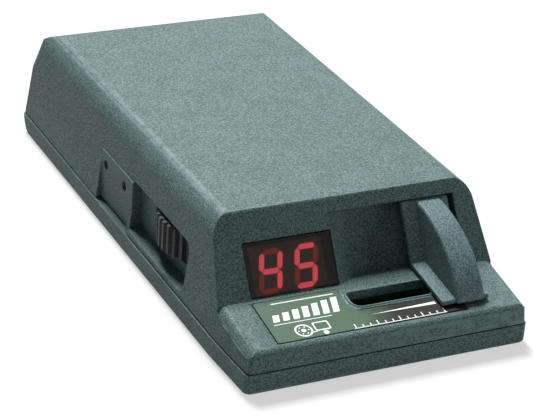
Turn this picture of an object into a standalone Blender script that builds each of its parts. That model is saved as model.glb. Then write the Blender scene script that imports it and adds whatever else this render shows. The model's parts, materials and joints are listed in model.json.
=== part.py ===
"""Brake controller unit: a flat plastic box with a raked display face, a manual slide lever, a gain wheel
in its left side and a four-blade connector at the back. Millimetres are turned into metres by MM.

+X is right and +Y is back, as the driver sees the box. The origin is at the middle of the underside.
"""

import math

import bpy
import bmesh
from mathutils import Matrix, Vector

MM = 0.001
SHARP_ANGLE = math.radians(30)

# Driving dimensions of the housing
DEPTH = 164.0
HEIGHT = 33.8
BASE_HALF = 41.1          # half width that the leaning sides would have at the underside
DRAFT = 0.135             # how far each side leans in, per millimetre of height
BACK_LEAN = 0.056         # the same for the back wall
WALL = 2.2
TOP_ROUND = 6.0           # radius of the two long top edges
FACE_TOP_ROUND = 1.6
BACK_ROUND = 13.0         # radius of the top back edge
LEDGE_ROUND = 2.6         # radius of the ledge's front and side edges
NOSE_TAPER = 0.9          # how much each side of the nose comes in towards its front
NOSE_CORNER = 1.8
BACK_CORNER = 2.2         # radius of the two upright back edges
BACK_CORNER_Z = 21.0      # above this height they grow rounder
BACK_CORNER_TOP = 9.5     # their radius at the top
GAP = 0.3                 # between pieces that lie against each other
SKIN = 0.05               # how far a rounding cutter's flat sides stay clear of the walls
SPLIT_Z = 5.6             # parting line of the two shells
SHELL_LOW = SPLIT_Z + GAP
TRAY_HALF = 40.75
TRAY_EDGE = 0.8           # radius of the tray's bottom edges
TRAY_TUCK = 5.4           # radius of its bottom back edge
NOSE_Z = 11.3             # height of the nose's front face
LEDGE_Y = 19.7            # how far back the ledge reaches
LEDGE_Z = 14.3            # height of the ledge's back edge
RAKE = 0.63               # how far the face leans back, per millimetre of height

NOSE = -DEPTH / 2
LEDGE_SLOPE = (LEDGE_Z - NOSE_Z) / LEDGE_Y
FACE_ANGLE = math.atan(RAKE)

# Manual lever, its pocket, slot and rail
LEVER_TRAVEL = 18.0
LEVER_X = 24.2            # middle of the lever at rest
LEVER_HALF = 4.3
FLANGE_LEFT = 8.0         # flange edge left of the lever's middle
FLANGE_RIGHT = 5.6
FLANGE_THICK = 1.3
POCKET_LEFT = -4.6
POCKET_RIGHT = 31.4
POCKET_TOP_Z = 30.3
POCKET_DEEP = 4.0
POCKET_RAMP = 6.5         # length of the slope at the pocket's left end
POCKET_WALL = 1.8
SLOT_LEFT = -5.4
SLOT_RIGHT = 30.0
SLOT_FRONT = 10.7
SLOT_BACK = 16.4
SLOT_CORNER = 2.4
RAIL_Y = 13.5
RAIL_Z = 7.6
RAIL_R = 1.5
SLIDE_LEFT = -9.0
SLIDE_RIGHT = 31.4
SLIDE_FRONT = 9.8
SLIDE_BACK = 17.2
SLIDE_TOP = 10.2

# Label, in its seat on the ledge
LABEL_LEFT = -30.4
LABEL_RIGHT = 22.6
LABEL_FRONT = 2.6
LABEL_BACK = 18.4         # left of the slot
LABEL_STEP_X = -7.0
LABEL_STEP_Y = 9.2        # its back edge in front of the slot
LABEL_STEP_ROUND = 2.6

# Display
WINDOW_LEFT = -30.0
WINDOW_RIGHT = -5.2
WINDOW_LOW = 0.3          # up the face from the ledge
WINDOW_HIGH = 14.6
LENS_THICK = 1.5
MODULE_HALF = 10.2
MODULE_LOW = 1.0
MODULE_HIGH = 13.4
MODULE_FRONT = 2.4        # behind the face
MODULE_BACK = 9.0

# Gain wheel and its recess
WHEEL_R = 17.0
WHEEL_X = -22.3
WHEEL_Y = 57.0            # behind the nose's front face
WHEEL_LOW = 12.0
WHEEL_HIGH = 20.4
WHEEL_TEETH = 42
TOOTH_DEPTH = 1.1
RECESS_FRONT = 40.0
RECESS_BACK = 78.6
RECESS_LOW = 7.2
RECESS_HIGH = 21.4
RECESS_X = -35.7          # floor of the wheel's recess

# Upright bracket pads: proud of the leaning sides at the top, sunk into them lower down
PAD_X = 38.7
PAD_INNER = 33.6
PAD_FRONT = 78.3
PAD_BACK = 101.5
PAD_HIGH = 20.8
PAD_HOLE_Y = (84.8, 98.6)
PAD_HOLE_Z = 17.0
PAD_HOLE_R = 1.35

# Boards, connector and fasteners
BOARD_LOW = 4.6
BOARD_THICK = 1.6
BOARD_TOP = BOARD_LOW + BOARD_THICK
CHIP_LOW = BOARD_TOP + GAP
BOARD_FRONT = 25.0
BOARD_BACK = 157.0
BOARD_HALF = 33.0
SINK_FRONT = 127.6
SINK_HIGH = 22.0
CONNECTOR_HALF = 17.0
CONNECTOR_HIGH = 21.6
CONNECTOR_FRONT = 141.0
CONNECTOR_MOUTH = DEPTH - 3.2
BLADE_PITCH = 7.4
BLADE_HALF = 3.15
SHELL_SCREWS = [(-34.5, 6.5), (34.5, 6.5), (-33.5, 152.0), (33.5, 152.0)]
BACK_BOSS_TOP = 24.0
BOARD_SCREWS = [(-30.0, 32.0), (30.0, 60.0), (-30.0, 118.0)]


def clear_scene():
    for old in list(bpy.data.objects):
        bpy.data.objects.remove(old, do_unlink=True)


def plastic_or_metal(name, colour, roughness, metallic=0.0, emission=0.0):
    mat = bpy.data.materials.new(name)
    mat.use_nodes = True
    shader = mat.node_tree.nodes["Principled BSDF"]
    shader.inputs["Base Color"].default_value = (*colour, 1.0)
    shader.inputs["Roughness"].default_value = roughness
    shader.inputs["Metallic"].default_value = metallic
    if emission:
        shader.inputs["Emission Color"].default_value = (*colour, 1.0)
        shader.inputs["Emission Strength"].default_value = emission
    mat.diffuse_color = (*colour, 1.0)
    return mat


def link_mesh(name, bm, mat=None, origin=(0.0, 0.0, 0.0)):
    """Turns a bmesh in millimetres into a named object in metres, with its origin at a given point."""
    bmesh.ops.recalc_face_normals(bm, faces=bm.faces)
    bmesh.ops.translate(bm, verts=bm.verts, vec=-Vector(origin))
    bmesh.ops.scale(bm, verts=bm.verts, vec=(MM, MM, MM))
    mesh = bpy.data.meshes.new(name)
    bm.to_mesh(mesh)
    bm.free()
    obj = bpy.data.objects.new(name, mesh)
    obj.location = Vector(origin) * MM
    bpy.context.scene.collection.objects.link(obj)
    if mat:
        mesh.materials.append(mat)
        mesh.shade_smooth()
        mesh.set_sharp_from_angle(angle=SHARP_ANGLE)
    return obj


def prism(near, far):
    """A closed solid between two rings of matching points."""
    return loft([near, far])


def loft(rings):
    """A closed solid through two or more rings that have the same number of points."""
    bm = bmesh.new()
    rings = [[bm.verts.new(point) for point in ring] for ring in rings]
    bm.faces.new(rings[0])
    bm.faces.new(list(reversed(rings[-1])))
    count = len(rings[0])
    for near, far in zip(rings, rings[1:]):
        for i in range(count):
            j = (i + 1) % count
            bm.faces.new((near[j], near[i], far[i], far[j]))
    return bm


def extrude_outline(points, low, high, place):
    """A prism: each outline point (a, b) becomes place(a, b, c) at c = low and c = high."""
    return prism([place(a, b, low) for a, b in points], [place(a, b, high) for a, b in points])


def along_x(y, z, x):
    return (x, NOSE + y, z)


def along_y(x, z, y):
    return (x, NOSE + y, z)


def along_z(x, y, z):
    return (x, NOSE + y, z)


def box(x0, x1, y0, y1, z0, z1):
    """A box; the y values count back from the nose's front face."""
    return extrude_outline([(x0, y0), (x1, y0), (x1, y1), (x0, y1)], z0, z1, along_z)


def raked_box(x0, x1, deep0, deep1, up0, up1):
    """A box in the frame of the raked face: up along it, and deep into the housing."""
    corners = [(deep0, up0), (deep1, up0), (deep1, up1), (deep0, up1)]
    return extrude_outline([face_point(up, deep) for deep, up in corners], x0, x1, along_x)


def face_point(up, deep):
    """(y, z) of a point that lies up the raked face and deep behind it."""
    sine, cosine = math.sin(FACE_ANGLE), math.cos(FACE_ANGLE)
    return (LEDGE_Y + up * sine + deep * cosine, LEDGE_Z + up * cosine - deep * sine)


def behind_face(deep, z):
    """y of the raked face at a height, or of a plane that lies deep behind it."""
    return LEDGE_Y + RAKE * (z - LEDGE_Z) + deep / math.cos(FACE_ANGLE)


def ledge_z(y):
    return NOSE_Z + LEDGE_SLOPE * y


def disc(radius, z0, z1, x, y, steps=32):
    """A round post along Z; y counts back from the nose's front face."""
    ring = [(x + radius * math.cos(a), y + radius * math.sin(a)) for a in turn(steps)]
    return extrude_outline(ring, z0, z1, along_z)


def rod(radius, x0, x1, y, z, steps=20):
    """A round bar along X."""
    ring = [(y + radius * math.cos(a), z + radius * math.sin(a)) for a in turn(steps)]
    return extrude_outline(ring, x0, x1, along_x)


def bolt(radius, y0, y1, x, z, steps=16):
    """A round bar along Y."""
    ring = [(x + radius * math.cos(a), z + radius * math.sin(a)) for a in turn(steps)]
    return extrude_outline(ring, y0, y1, along_y)


def turn(steps):
    return [2 * math.pi * i / steps for i in range(steps)]


def fillet(before, corner, after, radius, steps=4):
    """The arc that rounds a corner between two straight runs of an outline."""
    corner = Vector(corner)
    to_before = (Vector(before) - corner).normalized()
    to_after = (Vector(after) - corner).normalized()
    half = to_before.angle(to_after) / 2
    reach = radius / math.tan(half)
    centre = corner + (to_before + to_after).normalized() * (radius / math.sin(half))
    first = corner + to_before * reach - centre
    last = corner + to_after * reach - centre
    sweep = first.angle_signed(last)
    return [tuple(centre + Matrix.Rotation(-sweep * i / steps, 2) @ first) for i in range(steps + 1)]


def rounded(points, radii, steps=4):
    """An outline with each corner rounded by its own radius; 0 keeps the corner."""
    out = []
    count = len(points)
    for i, radius in enumerate(radii):
        if radius:
            out += fillet(points[i - 1], points[i], points[(i + 1) % count], radius, steps)
        else:
            out.append(points[i])
    return out


def guide(name, bm):
    """A cutter, which the finished part doesn't show."""
    obj = link_mesh(name, bm)
    obj.hide_render = True
    obj.display_type = "WIRE"
    return obj


def boolean(obj, tool, operation="DIFFERENCE"):
    mod = obj.modifiers.new(operation.lower() + "_" + tool.name, "BOOLEAN")
    mod.operation = operation
    mod.solver = "EXACT"
    mod.object = tool


def wall_x(z):
    """Half width of the upper housing at a height."""
    return BASE_HALF - DRAFT * z


def back_y(z):
    """Where the back wall's outside is at a height."""
    return DEPTH - BACK_LEAN * (z - SPLIT_Z)


def cross_outline(inset, low, high):
    """The housing's section across, with its two leaning sides and rounded top edges."""
    top_round = max(TOP_ROUND - inset, 1.0)
    low_half, high_half = wall_x(low) - inset, wall_x(high) - inset
    corners = [(-low_half, low), (low_half, low), (high_half, high), (-high_half, high)]
    return rounded(corners, [0, 0, top_round, top_round], 8)


def side_outline(inset, low):
    """The housing seen from the side: nose, ledge, raked face, flat top and round-topped back wall."""
    top = HEIGHT - inset
    deep = inset / math.cos(FACE_ANGLE)
    corners = [
        (inset, low),
        (inset, NOSE_Z - inset + LEDGE_SLOPE * inset),
        (LEDGE_Y + deep - RAKE * inset, LEDGE_Z - inset),
        (LEDGE_Y + deep + RAKE * (top - LEDGE_Z), top),
        (back_y(top) - inset, top),
        (back_y(low) - inset, low),
    ]
    edge = 0 if inset else 1
    radii = [0, LEDGE_ROUND * edge, 0.6 * edge, FACE_TOP_ROUND * edge, BACK_ROUND - inset, 0]
    return rounded(list(reversed(corners)), list(reversed(radii)), 7)


def plan_ring(inset, z):
    """The housing seen from above, at a height: the nose tapers, and the upright edges are rounded."""
    front_half = wall_x(z) - NOSE_TAPER - inset
    half = wall_x(z) + SKIN - inset
    front, back = inset - SKIN, back_y(z) + SKIN - inset
    corners = [(-front_half, front), (front_half, front), (half, LEDGE_Y)]
    corners += [(half, back), (-half, back), (-half, LEDGE_Y)]
    risen = max(z - BACK_CORNER_Z, 0.0) / (HEIGHT - BACK_CORNER_Z)
    rear_round = BACK_CORNER + (BACK_CORNER_TOP - BACK_CORNER) * risen
    nose, rear = max(NOSE_CORNER - inset, SKIN), max(rear_round - inset, SKIN)
    ring = rounded(corners, [nose, nose, 0, rear, rear, 0], 4)
    return [along_z(x, y, z) for x, y in ring]


def solid_shape(name, inset, low, high, maker):
    """The box-like body that the three outlines have in common."""
    body = maker(name, extrude_outline(side_outline(inset, low), -60, 60, along_x))
    section = cross_outline(inset, low - 1, high)
    boolean(body, guide(name + "_across", extrude_outline(section, -5, DEPTH + 5, along_y)), "INTERSECT")
    above = loft([plan_ring(inset, z) for z in (low - 2, BACK_CORNER_Z, high + 2)])
    boolean(body, guide(name + "_above", above), "INTERSECT")
    return body


def make_upper_housing(mat):
    def shown(name, bm):
        return link_mesh(name, bm, mat)

    housing = solid_shape("upper_housing", 0.0, SHELL_LOW, HEIGHT, shown)
    boolean(housing, solid_shape("hollow", WALL, SPLIT_Z - 1, HEIGHT - WALL, guide))
    for side, label in ((-1, "left"), (1, "right")):
        boolean(housing, guide("ledge_edge_" + label, ledge_edge(side)))
        boolean(housing, guide("pad_seat_" + label, pad_slab(side, PAD_X, 50.0, SPLIT_Z - 1)))
    for tool in thickened_parts():
        boolean(housing, tool, "UNION")
    boolean(housing, guide("lever_pocket", pocket_space()))
    boolean(housing, guide("pocket_ramp", pocket_ramp()), "UNION")
    for tool in housing_cuts():
        boolean(housing, tool)
    return housing


def ledge_edge(side):
    """What is taken off to round the ledge's side edge: its section follows the ledge's slope."""
    reach = 5.0

    def ring(y, taper):
        z = ledge_z(y)
        corner = (wall_x(z) - taper, z)
        lower = (wall_x(z - reach) - taper, z - reach)
        arc = fillet((corner[0] - reach, z), corner, lower, LEDGE_ROUND, 5)
        outside = [(arc[-1][0] + reach, arc[-1][1]), (arc[-1][0] + reach, z + reach), (arc[0][0], z + reach)]
        return [along_y(side * x, up, y) for x, up in arc + outside]

    beyond = 2.0
    growth = NOSE_TAPER * beyond / LEDGE_Y
    return prism(ring(-beyond, NOSE_TAPER + growth), ring(LEDGE_Y, 0.0))


def thickened_parts():
    """Walls, pads and bosses that stand on the inside or outside of the plain shell."""
    yield guide("pocket_walls", pocket_block(POCKET_WALL))
    yield guide("recess_walls", recess_block())
    for side, label in ((-1, "left"), (1, "right")):
        yield guide("pad_" + label, pad_slab(side, PAD_INNER, PAD_X, SHELL_LOW))
    for i, (x, y) in enumerate(SHELL_SCREWS):
        top = ledge_z(y) - 1.0 if y < LEDGE_Y else BACK_BOSS_TOP
        yield guide("boss_%d" % (i + 1), disc(3.3, SHELL_LOW, top, x, y, 20))


def recess_block():
    """The wall behind the wheel's recess; its outer face stays inside the leaning side."""
    inner, top = RECESS_X + WALL, RECESS_HIGH + WALL
    skin = 0.8
    outline = [(inner, SHELL_LOW), (-wall_x(SHELL_LOW) + skin, SHELL_LOW)]
    outline += [(-wall_x(top) + skin, top), (inner, top)]
    return extrude_outline(outline, RECESS_FRONT - WALL, RECESS_BACK + WALL, along_y)


def pocket_block(wall):
    """The walls round the lever's pocket, behind the raked face and under the ledge's back edge."""
    low, high = LEDGE_Z - WALL - 0.1, HEIGHT - 1.0
    deep = POCKET_DEEP + wall
    outline = [(behind_face(1.0, low), low), (behind_face(deep, low), low)]
    outline += [(behind_face(deep, high), high), (behind_face(1.0, high), high)]
    return extrude_outline(outline, POCKET_LEFT - wall, POCKET_RIGHT + wall, along_x)


def pocket_ramp():
    """The slope that fills the left end of the lever's pocket."""
    start, full = POCKET_LEFT - 0.5, POCKET_DEEP + 0.5
    plan = [(start, 0.3), (POCKET_LEFT, 0.3), (POCKET_LEFT + POCKET_RAMP, full), (start, full)]

    def ring(z):
        return [along_x(behind_face(deep, z), z, x) for x, deep in plan]

    return prism(ring(LEDGE_Z - 0.8), ring(POCKET_TOP_Z + 0.8))


def pad_slab(side, inner, outer, low):
    """An upright slab at a bracket pad, between two distances from the middle."""
    corners = [(side * inner, PAD_FRONT), (side * outer, PAD_FRONT)]
    corners += [(side * outer, PAD_BACK), (side * inner, PAD_BACK)]
    return extrude_outline(corners, low, PAD_HIGH, along_z)


def housing_cuts():
    """Openings in the upper housing."""
    yield guide("window", raked_box(WINDOW_LEFT, WINDOW_RIGHT, -2, 8, WINDOW_LOW, WINDOW_HIGH))
    yield guide("lever_slot", slot_space())
    yield guide("label_seat", label_block(-0.62, 3.0, GAP))
    yield guide("wheel_recess", recess_space())
    wheel_room = disc(WHEEL_R + 0.6, WHEEL_LOW - 0.6, WHEEL_HIGH + 0.6, WHEEL_X, WHEEL_Y, 48)
    yield guide("wheel_room", wheel_room)
    for side, label in ((-1, "left"), (1, "right")):
        for i, y in enumerate(PAD_HOLE_Y):
            hole = rod(PAD_HOLE_R, side * 30.0, side * 45.0, y, PAD_HOLE_Z, 16)
            yield guide("pad_hole_%s_%d" % (label, i + 1), hole)
    for i, (x, y) in enumerate(SHELL_SCREWS):
        top = ledge_z(y) - WALL if y < LEDGE_Y else 14.0
        yield guide("pilot_%d" % (i + 1), disc(1.75, 0, top, x, y, 16))
    reach = CONNECTOR_HALF + GAP
    back_gap = box(-reach, reach, CONNECTOR_FRONT, DEPTH + 4, SPLIT_Z - 1, CONNECTOR_HIGH + GAP)
    yield guide("connector_opening", back_gap)


def pocket_space():
    """The space that the lever slides in."""
    low, high = LEDGE_Z + 0.02, POCKET_TOP_Z
    outline = [(behind_face(-6.0, low), low), (behind_face(POCKET_DEEP, low), low)]
    outline += [(behind_face(POCKET_DEEP, high), high), (behind_face(-6.0, high), high)]
    return extrude_outline(outline, POCKET_LEFT, POCKET_RIGHT, along_x)


def slot_space():
    """The slot in the ledge for the lever's stem."""
    corners = [(SLOT_LEFT, SLOT_FRONT), (SLOT_RIGHT, SLOT_FRONT)]
    corners += [(SLOT_RIGHT, SLOT_BACK), (SLOT_LEFT, SLOT_BACK)]
    outline = rounded(corners, [SLOT_CORNER, 0.8, 0.8, 0.8], 5)
    return extrude_outline(outline, SPLIT_Z, LEDGE_Z + 1.5, along_z)


def label_block(below, above, grow=0.0):
    """The label's outline on the ledge, between two heights above the ledge's surface."""
    left, right = LABEL_LEFT - grow, LABEL_RIGHT + grow
    front, back = LABEL_FRONT - grow, LABEL_BACK + grow
    step_x, step_y = LABEL_STEP_X + grow, LABEL_STEP_Y + grow
    corners = [(left, front), (right, front), (right, step_y), (step_x, step_y), (step_x, back), (left, back)]
    outline = rounded(corners, [0.5, 0.5, 0.5, LABEL_STEP_ROUND - grow, 0.5, 0.5], 5)

    def ring(lift):
        return [along_z(x, y, ledge_z(y) + lift) for x, y in outline]

    return prism(ring(below), ring(above))


def recess_space():
    """The shallow finger recess round the gain wheel."""
    corners = [(RECESS_FRONT, RECESS_LOW), (RECESS_BACK, RECESS_LOW)]
    corners += [(RECESS_BACK, RECESS_HIGH), (RECESS_FRONT, RECESS_HIGH)]
    return extrude_outline(rounded(corners, [3.0, 0.6, 0.6, 3.0], 4), -50, RECESS_X, along_x)


def tray_ring(z, back):
    """The tray seen from above, at a height; its bottom edges are rounded."""
    tuck = TRAY_EDGE - math.sqrt(TRAY_EDGE ** 2 - max(TRAY_EDGE - z, 0.0) ** 2)
    half, front_half = TRAY_HALF - tuck, TRAY_HALF - NOSE_TAPER - tuck
    corners = [(-front_half, tuck), (front_half, tuck), (half, LEDGE_Y)]
    corners += [(half, back), (-half, back), (-half, LEDGE_Y)]
    ring = rounded(corners, [NOSE_CORNER, NOSE_CORNER, 0, BACK_CORNER, BACK_CORNER, 0], 4)
    return [along_z(x, y, z) for x, y in ring]


def tray_body():
    """A flat dish whose bottom back edge is tucked in on an arc."""
    steps = 7
    rings = []
    for i in range(steps + 1):
        angle = math.pi / 2 * i / steps
        z = TRAY_TUCK * (1 - math.cos(angle))
        rings.append(tray_ring(z, DEPTH - TRAY_TUCK * (1 - math.sin(angle))))
    rings.append(tray_ring(SPLIT_Z, DEPTH))
    return loft(rings)


def make_bottom_tray(mat):
    tray = link_mesh("bottom_tray", tray_body(), mat)
    inner = TRAY_HALF - WALL
    back = DEPTH - TRAY_TUCK
    corners = [(-inner + NOSE_TAPER, WALL), (inner - NOSE_TAPER, WALL), (inner, LEDGE_Y)]
    corners += [(inner, back), (-inner, back), (-inner, LEDGE_Y)]
    hollow = extrude_outline(rounded(corners, [1, 1, 0, 2, 2, 0], 3), WALL, SPLIT_Z + 1, along_z)
    boolean(tray, guide("tray_hollow", hollow))
    for i, (x, y) in enumerate(BOARD_SCREWS):
        boolean(tray, guide("standoff_%d" % (i + 1), disc(3.0, 1.0, BOARD_LOW - GAP, x, y, 16)), "UNION")
        boolean(tray, guide("board_pilot_%d" % (i + 1), disc(1.4, 0.9, 9, x, y, 12)))
    for i, (x, y) in enumerate(SHELL_SCREWS):
        boolean(tray, guide("tray_boss_%d" % (i + 1), disc(3.6, 1.0, SPLIT_Z - 0.2, x, y, 20)), "UNION")
        boolean(tray, guide("screw_hole_%d" % (i + 1), disc(1.75, -1, 9, x, y, 16)))
        boolean(tray, guide("counterbore_%d" % (i + 1), disc(3.0, -1, 2.6, x, y, 20)))
    return tray


def make_label(mat):
    return link_mesh("label_plate", label_block(-0.3, 0.12), mat)


def make_lens(mat):
    left, right = WINDOW_LEFT + GAP, WINDOW_RIGHT - GAP
    low, high = WINDOW_LOW + GAP, WINDOW_HIGH - GAP
    sunk = 0.3
    return link_mesh("display_lens", raked_box(left, right, sunk, sunk + LENS_THICK, low, high), mat)


def make_display(module_mat, board_mat):
    """The two-digit module behind the lens, on a small board of its own."""
    middle = (WINDOW_LEFT + WINDOW_RIGHT) / 2
    left, right = middle - MODULE_HALF, middle + MODULE_HALF
    module = raked_box(left, right, MODULE_FRONT, MODULE_BACK, MODULE_LOW, MODULE_HIGH)
    link_mesh("digit_display", module, module_mat)
    margin, board_front = 1.8, MODULE_BACK + GAP
    board = raked_box(left - margin, right + margin, board_front, board_front + BOARD_THICK, -1.0, 15.6)
    link_mesh("display_board", board, board_mat)


def make_ribbon(mat):
    """A flat jumper strip that bends from the display board down to the main board."""
    foot = BOARD_TOP + GAP
    under = [(30.6, 10.2), (33.2, 9.4), (34.8, 8.0), (35.2, foot)]
    over = [(35.8, foot), (35.4, 8.4), (33.6, 10.0), (31.0, 10.8)]
    link_mesh("display_ribbon", extrude_outline(under + over, -24.0, -11.0, along_x), mat)


def lever_outline():
    """The lever from the side: a bowed finger face from the pocket's top down to the ledge's front."""
    lift, foot, top, base = 0.75, 3.7, 29.6, 11.0
    power = 2 / 1.8
    steps = 16
    back = behind_face(0.6, top)
    foot_z = ledge_z(foot) + lift
    bow = []
    for i in range(1, steps):
        angle = math.pi / 2 * (1 - i / steps)
        y = back - (back - foot + 0.1) * math.cos(angle) ** power
        z = base + (top - base) * math.sin(angle) ** power
        bow.append((y, z))
    bow = [(y, z) for y, z in bow if z > foot_z + 1.0]
    heel = (behind_face(0.6, LEDGE_Z + 1.0), ledge_z(20.2) + lift)
    return [(back, top)] + bow + [(foot, foot_z), heel]


def make_lever(mat):
    """The finger fin, its flange in front of the pocket and the stem through the ledge's slot."""
    lever = link_mesh("manual_lever", flange_shape(), mat)
    fin = guide("lever_fin", fin_shape())
    soften = fin.modifiers.new("soft_edges", "BEVEL")
    soften.width = 0.7 * MM
    soften.segments = 2
    soften.limit_method = "ANGLE"
    soften.angle_limit = math.radians(50)
    boolean(lever, fin, "UNION")
    stem = box(LEVER_X - 3.6, LEVER_X + 3.6, SLOT_FRONT + 1.2, SLOT_BACK - 1.2, 10.4, LEDGE_Z + 2.0)
    boolean(lever, guide("lever_stem", stem), "UNION")
    return lever


def fin_shape():
    """The fin that the finger pushes, a little narrower at the top."""
    lean = 0.9

    def ring(side):
        points = []
        for y, z in lever_outline():
            half = LEVER_HALF - lean * (z - NOSE_Z) / (HEIGHT - NOSE_Z)
            points.append(along_x(y, z, LEVER_X + side * half))
        return points

    return prism(ring(-1), ring(1))


def flange_shape():
    """A bent plate: up the pocket's mouth behind the fin, and forward along the ledge under it."""
    lift, toe, high = 0.55, 4.6, 29.8
    under = LEDGE_Z + lift
    over = under + FLANGE_THICK
    behind = 0.2 + FLANGE_THICK
    outline = [
        (toe, ledge_z(toe) + lift),
        (LEDGE_Y, under),
        (behind_face(behind, under), under),
        (behind_face(behind, high), high),
        (behind_face(0.2, high), high),
        (behind_face(0.2, over), over),
        (toe, ledge_z(toe) + lift + FLANGE_THICK),
    ]
    return extrude_outline(outline, LEVER_X - FLANGE_LEFT, LEVER_X + FLANGE_RIGHT, along_x)


def make_slide(carriage_mat, steel, spring_mat, pot_mat):
    """The rail under the ledge, the carriage on it, the return spring and the slide potentiometer."""
    make_slide_frame(steel)
    link_mesh("guide_rail", rod(RAIL_R, SLIDE_LEFT - 0.8, SLIDE_RIGHT + 0.8, RAIL_Y, RAIL_Z), steel)
    make_spring(SLIDE_LEFT + 1.6, LEVER_X - 5.4, spring_mat)

    half, deep, top = 5.0, 2.9, 10.0
    block = box(LEVER_X - half, LEVER_X + half, RAIL_Y - deep, RAIL_Y + deep, 5.0, top)
    carriage = link_mesh("lever_carriage", block, carriage_mat)
    arm = box(LEVER_X - 1.5, LEVER_X + 1.5, RAIL_Y + deep - 0.8, 26.6, 8.2, top)
    boolean(carriage, guide("carriage_arm", arm), "UNION")
    boolean(carriage, guide("carriage_bore", rod(RAIL_R + GAP, 0, 40, RAIL_Y, RAIL_Z)))

    pot = link_mesh("slide_pot", box(-3.0, 32.0, 26.0, 34.0, CHIP_LOW, 11.6), pot_mat)
    track = box(LEVER_X - LEVER_TRAVEL - 4.5, LEVER_X + 4.5, 25.0, 31.0, 7.8, 10.6)
    boolean(pot, guide("pot_track", track))
    slider = box(LEVER_X - 3.0, LEVER_X + 3.0, 27.0, 30.4, 8.2, 10.2)
    link_mesh("pot_slider", slider, carriage_mat)


def make_slide_frame(steel):
    """A bent plate on the tray's floor, whose two ears hold the guide rail."""
    low, plate, ear = WALL + GAP, 1.0, 1.2
    bed = box(SLIDE_LEFT, SLIDE_RIGHT, SLIDE_FRONT, SLIDE_BACK, low, low + plate)
    frame = link_mesh("slide_frame", bed, steel)
    for label, x in (("left", SLIDE_LEFT), ("right", SLIDE_RIGHT - ear)):
        upright = box(x, x + ear, SLIDE_FRONT, SLIDE_BACK, low + 0.1, SLIDE_TOP)
        boolean(frame, guide("ear_" + label, upright), "UNION")
    holes = rod(RAIL_R + GAP, SLIDE_LEFT - 2, SLIDE_RIGHT + 2, RAIL_Y, RAIL_Z)
    boolean(frame, guide("rail_holes", holes))


def make_spring(x0, x1, mat):
    """An open coil round the guide rail, swept as a tube along a helix."""
    turns, per_turn, sides = 8, 10, 6
    coil_r, wire_r = 2.7, 0.3
    steps = turns * per_turn
    pitch = (x1 - x0 - 2 * wire_r) / steps
    rings = []
    for i in range(steps + 1):
        angle = 2 * math.pi * i / per_turn
        outward = Vector((0.0, math.cos(angle), math.sin(angle)))
        centre = Vector((x0 + wire_r + pitch * i, NOSE + RAIL_Y, RAIL_Z)) + outward * coil_r
        across = Vector((wire_r, 0.0, 0.0))
        rings.append([centre + outward * wire_r * math.cos(a) + across * math.sin(a) for a in turn(sides)])
    return link_mesh("return_spring", loft(rings), mat)


def make_gain_control(wheel_mat, shaft_mat, pot_mat):
    """The knurled wheel, its shaft and the potentiometer under it. The wheel's origin is on its axis."""
    axis = (WHEEL_X, NOSE + WHEEL_Y, (WHEEL_LOW + WHEEL_HIGH) / 2)
    shaft_r, bore_r, dish_r, dish_deep = 3.0, 3.3, 11.5, 1.4
    wheel = link_mesh("gain_wheel", wheel_body(), wheel_mat, axis)
    boolean(wheel, guide("wheel_bore", disc(bore_r, 0, 40, WHEEL_X, WHEEL_Y, 20)))
    dish = disc(dish_r, WHEEL_HIGH - dish_deep, 40, WHEEL_X, WHEEL_Y, 32)
    boolean(wheel, guide("wheel_dish", dish))
    pot_top = BOARD_TOP + 4.8
    shaft = disc(shaft_r, pot_top - 0.4, WHEEL_HIGH + 1.2, WHEEL_X, WHEEL_Y, 20)
    link_mesh("gain_shaft", shaft, shaft_mat, axis)
    half = 6.0
    pot = box(WHEEL_X - half, WHEEL_X + half, WHEEL_Y - half, WHEEL_Y + half, CHIP_LOW, pot_top)
    body = link_mesh("gain_pot", pot, pot_mat)
    boolean(body, guide("gain_pot_bore", disc(bore_r, pot_top - 1.0, 40, WHEEL_X, WHEEL_Y, 20)))


def wheel_body():
    """A disc with flat-topped teeth; each tooth rises and falls at these parts of its pitch."""
    root, tip = WHEEL_R - TOOTH_DEPTH, WHEEL_R
    profile = ((0.08, root), (0.28, tip), (0.62, tip), (0.82, root))
    ring = []
    for i in range(WHEEL_TEETH):
        for share, radius in profile:
            angle = 2 * math.pi * (i + share) / WHEEL_TEETH
            ring.append((WHEEL_X + radius * math.cos(angle), WHEEL_Y + radius * math.sin(angle)))
    return extrude_outline(ring, WHEEL_LOW, WHEEL_HIGH, along_z)


def make_main_board(mat):
    outline = box(-BOARD_HALF, BOARD_HALF, BOARD_FRONT, BOARD_BACK, BOARD_LOW, BOARD_TOP)
    board = link_mesh("main_board", outline, mat)
    for i, (x, y) in enumerate(SHELL_SCREWS):
        if y > BOARD_FRONT:
            boolean(board, guide("board_notch_%d" % (i + 1), disc(4.2, 0, 9, x, y, 20)))
    for i, (x, y) in enumerate(BOARD_SCREWS):
        boolean(board, guide("board_hole_%d" % (i + 1), disc(1.6, 0, 9, x, y, 16)))
    return board


def make_electronics(mats):
    """The pieces that stand on the main board: left, right, front, back and height of each."""
    chips = {
        "microcontroller": (-6.0, 20.0, 77.0, 84.5, 3.4),
        "clock_crystal": (2.0, 12.0, 88.0, 92.0, 3.6),
        "stoplight_relay": (10.0, 25.5, 99.0, 118.0, 15.5),
        "current_shunt": (-14.0, 0.0, 107.0, 110.0, 5.0),
        "flyback_diode": (-22.0, -12.5, 114.0, 119.5, 5.2),
    }
    for name, (x0, x1, y0, y1, high) in chips.items():
        link_mesh(name, box(x0, x1, y0, y1, CHIP_LOW, CHIP_LOW + high), mats[name])
    can_r, can_high, can_y = 5.0, 16.0, 95.0
    for i, x in enumerate((-24.0, -12.0)):
        can = disc(can_r, CHIP_LOW, CHIP_LOW + can_high, x, can_y, 28)
        link_mesh("smoothing_capacitor_%d" % (i + 1), can, mats["capacitor"])


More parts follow.
